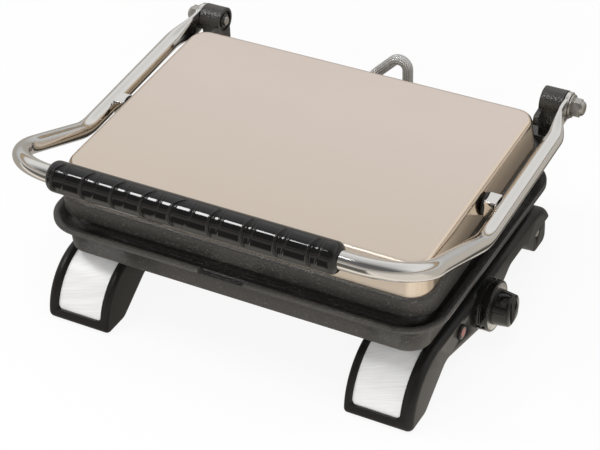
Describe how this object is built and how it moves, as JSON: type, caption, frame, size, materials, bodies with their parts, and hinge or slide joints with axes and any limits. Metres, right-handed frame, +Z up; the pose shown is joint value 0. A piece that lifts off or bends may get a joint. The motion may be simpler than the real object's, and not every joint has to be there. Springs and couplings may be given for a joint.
{
  "type": "panini press",
  "caption": "Contact grill with a ribbed base plate on moulded side rails, a floating stainless lid carried by a bent tube handle, a side dial and a pilot lamp.",
  "frame": {"origin": "bottom centre of the bounding box of the closed appliance, on the table", "axes": "+X to the right side with the dial, +Y to the rear hinge, +Z up; the grip is towards -Y"},
  "size_m": [0.3682, 0.321, 0.1778],
  "materials": {
    "steel_cover": "fine satin stainless with a polished pressed edge",
    "cast": "cast aluminium, dark non-stick coat",
    "rail_black": "moulded, satin black",
    "inlay": "brushed crosswise",
    "tube": "polished tube",
    "grip": "glossy black",
    "fastener": "plated steel",
    "pan": "zinc plated sheet",
    "heater": "heat-tinted steel sheath",
    "dial_black": "glossy black",
    "dial_silver": "satin with printed marks",
    "lens": "red translucent",
    "foot_rubber": "soft matt",
    "conduit_steel": "braided",
    "ceramic": "unglazed ceramic",
    "fitting_black": "moulded"
  },
  "bodies": {
    "base": {"lower_grill_plate": "cast", "base_pan": "pan", "side_rail_left": "rail_black", "side_rail_right": "rail_black", "rail_screws": "fastener", "lower_heating_element": "heater", "lower_element_clamps": "pan", "lower_clamp_screws": "fastener", "thermostat_body": "ceramic", "thermostat_collar": "dial_black", "dial_ring": "dial_silver", "pilot_lamp_lens": "lens", "pilot_lamp_body": "fitting_black", "terminal_block": "ceramic", "conduit": "conduit_steel", "conduit_gland_base": "fitting_black", "mains_inlet_gland": "fitting_black", "foot_inlay_left": "inlay", "foot_inlay_right": "inlay", "rubber_foot_front_left": "foot_rubber", "rubber_foot_front_right": "foot_rubber", "rubber_foot_rear_left": "foot_rubber", "rubber_foot_rear_right": "foot_rubber", "hinge_post_left": "cast", "hinge_post_right": "cast", "post_screw_left": "fastener", "post_screw_right": "fastener", "rear_foot_screw_left": "fastener", "rear_foot_screw_right": "fastener", "pivot_bolt_left": "fastener", "pivot_bolt_right": "fastener", "pivot_washer_left": "fastener", "pivot_washer_right": "fastener", "pivot_nut_left": "fastener", "pivot_nut_right": "fastener"},
    "handle": {"handle_tube": "tube", "handle_grip": "grip", "tilt_standoff_left": "fastener", "tilt_standoff_right": "fastener", "tilt_bolt_left": "fastener", "tilt_bolt_right": "fastener"},
    "lid": {"lid_cover": "steel_cover", "upper_grill_plate": "cast", "upper_heating_element": "heater", "upper_element_clamps": "pan", "upper_clamp_screws": "fastener", "conduit_gland_lid": "fitting_black", "tilt_bush_left": "fitting_black", "tilt_bush_right": "fitting_black"},
    "knob": {"control_knob": "dial_black"}
  },
  "joints": [
    {"name": "handle_hinge", "type": "hinge", "parent": "base", "child": "handle", "pos_m": [0, 0.149, 0.1315], "axis": [-1, 0, 0], "range_deg": [0, 100], "deforming": ["conduit"]},
    {"name": "lid_tilt", "type": "hinge", "parent": "handle", "child": "lid", "pos_m": [0, 0.0115, 0.12158], "axis": [-1, 0, 0], "range_deg": [0, 5.5]},
    {"name": "knob_turn", "type": "hinge", "parent": "base", "child": "knob", "pos_m": [0.1863, 0.0045, 0.034], "axis": [1, 0, 0], "range_deg": [-270, 0]}
  ]
}
